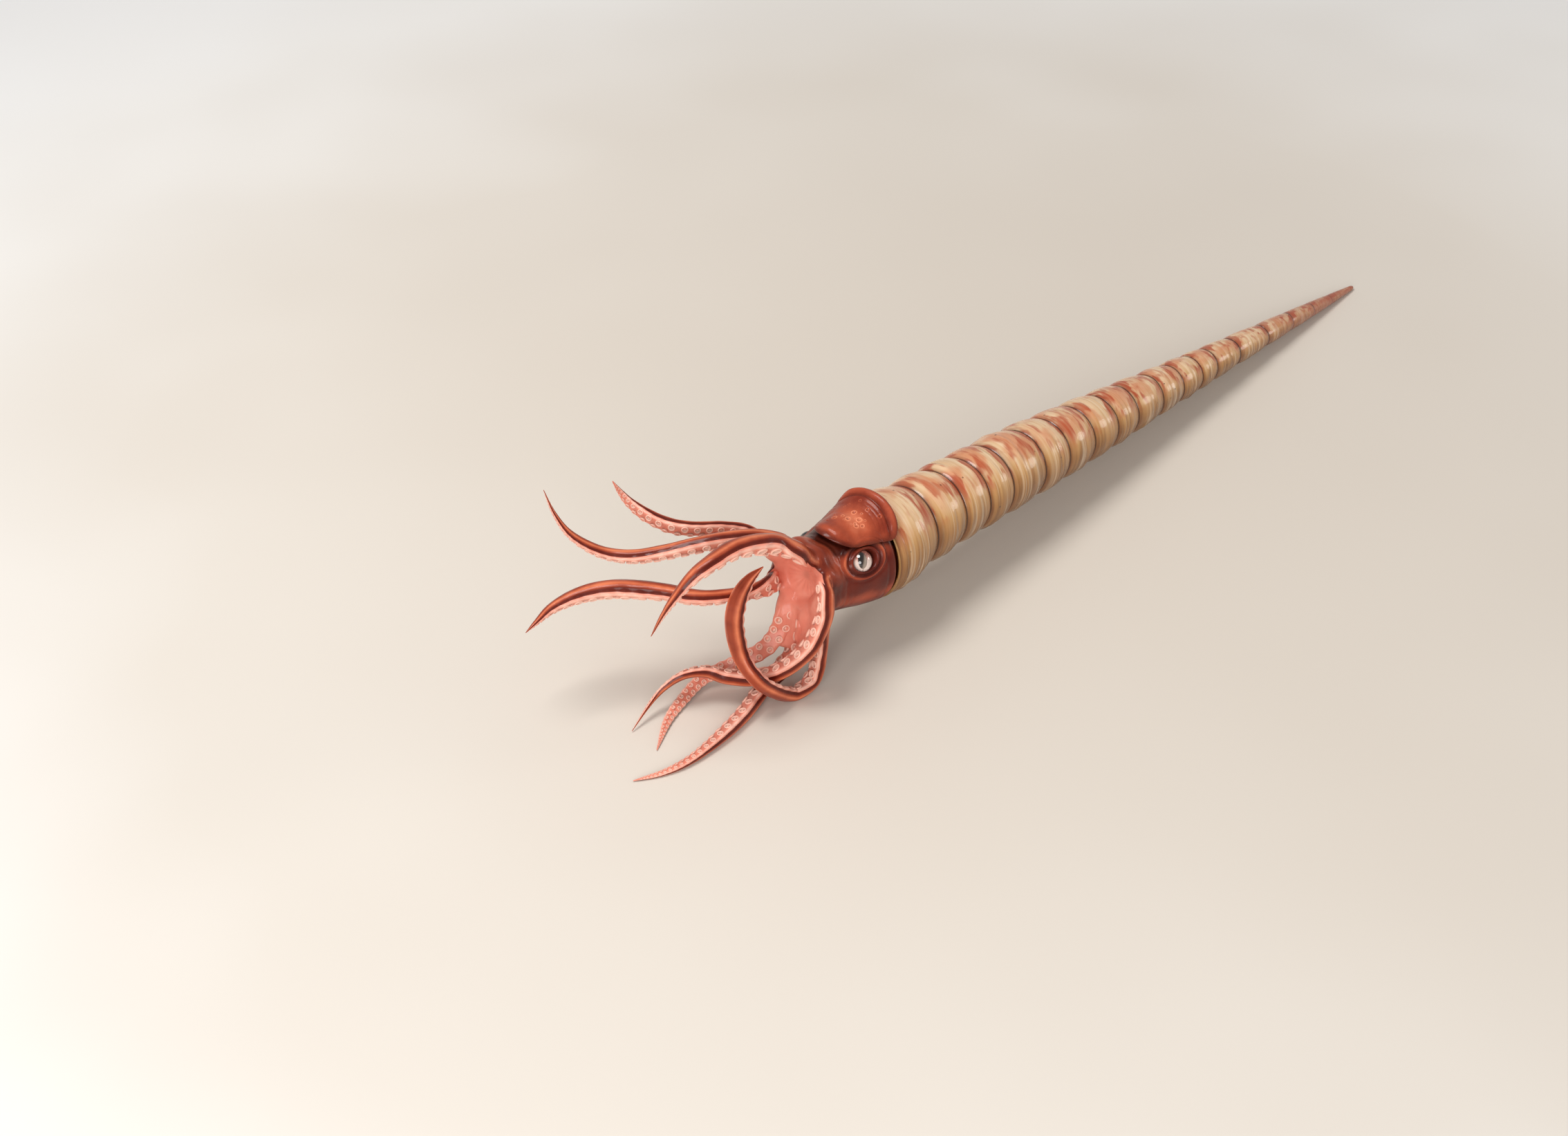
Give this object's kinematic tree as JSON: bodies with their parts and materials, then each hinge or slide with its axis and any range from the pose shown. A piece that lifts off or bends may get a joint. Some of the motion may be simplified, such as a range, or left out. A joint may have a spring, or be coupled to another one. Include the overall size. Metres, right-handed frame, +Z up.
{
  "type": "orthoceras life reconstruction",
  "caption": "Straight-shelled nautiloid as in life: long ringed conical shell, soft head with leathery hood and eyes, and curling suckered arms. Rests on its shell tip and lowest arms.",
  "frame": {"origin": "on the ground under the middle of the whole animal's box", "axes": "+X towards the tip of the shell, -X the way the head and arms point, +Z up"},
  "size_m": [0.3761, 0.0698, 0.0651],
  "materials": {
    "shell": "polished cream and ochre shell with rust-red stain at the grooves",
    "skin": "wet red-brown skin",
    "hood_skin": "leathery brick-red skin with small pits",
    "arm_skin": "wet skin, red-brown outside and salmon-pink on the sucker side",
    "eye": "glossy, pale with a dark slit pupil"
  },
  "bodies": {
    "root": {"shell": "shell", "head": "skin", "hood": "hood_skin", "eye_left": "eye", "eye_right": "eye", "arm_left_1": "arm_skin", "arm_left_2": "arm_skin", "arm_left_3": "arm_skin", "arm_left_4": "arm_skin", "arm_right_1": "arm_skin", "arm_right_2": "arm_skin", "arm_right_3": "arm_skin", "arm_right_4": "arm_skin"}
  },
  "joints": []
}
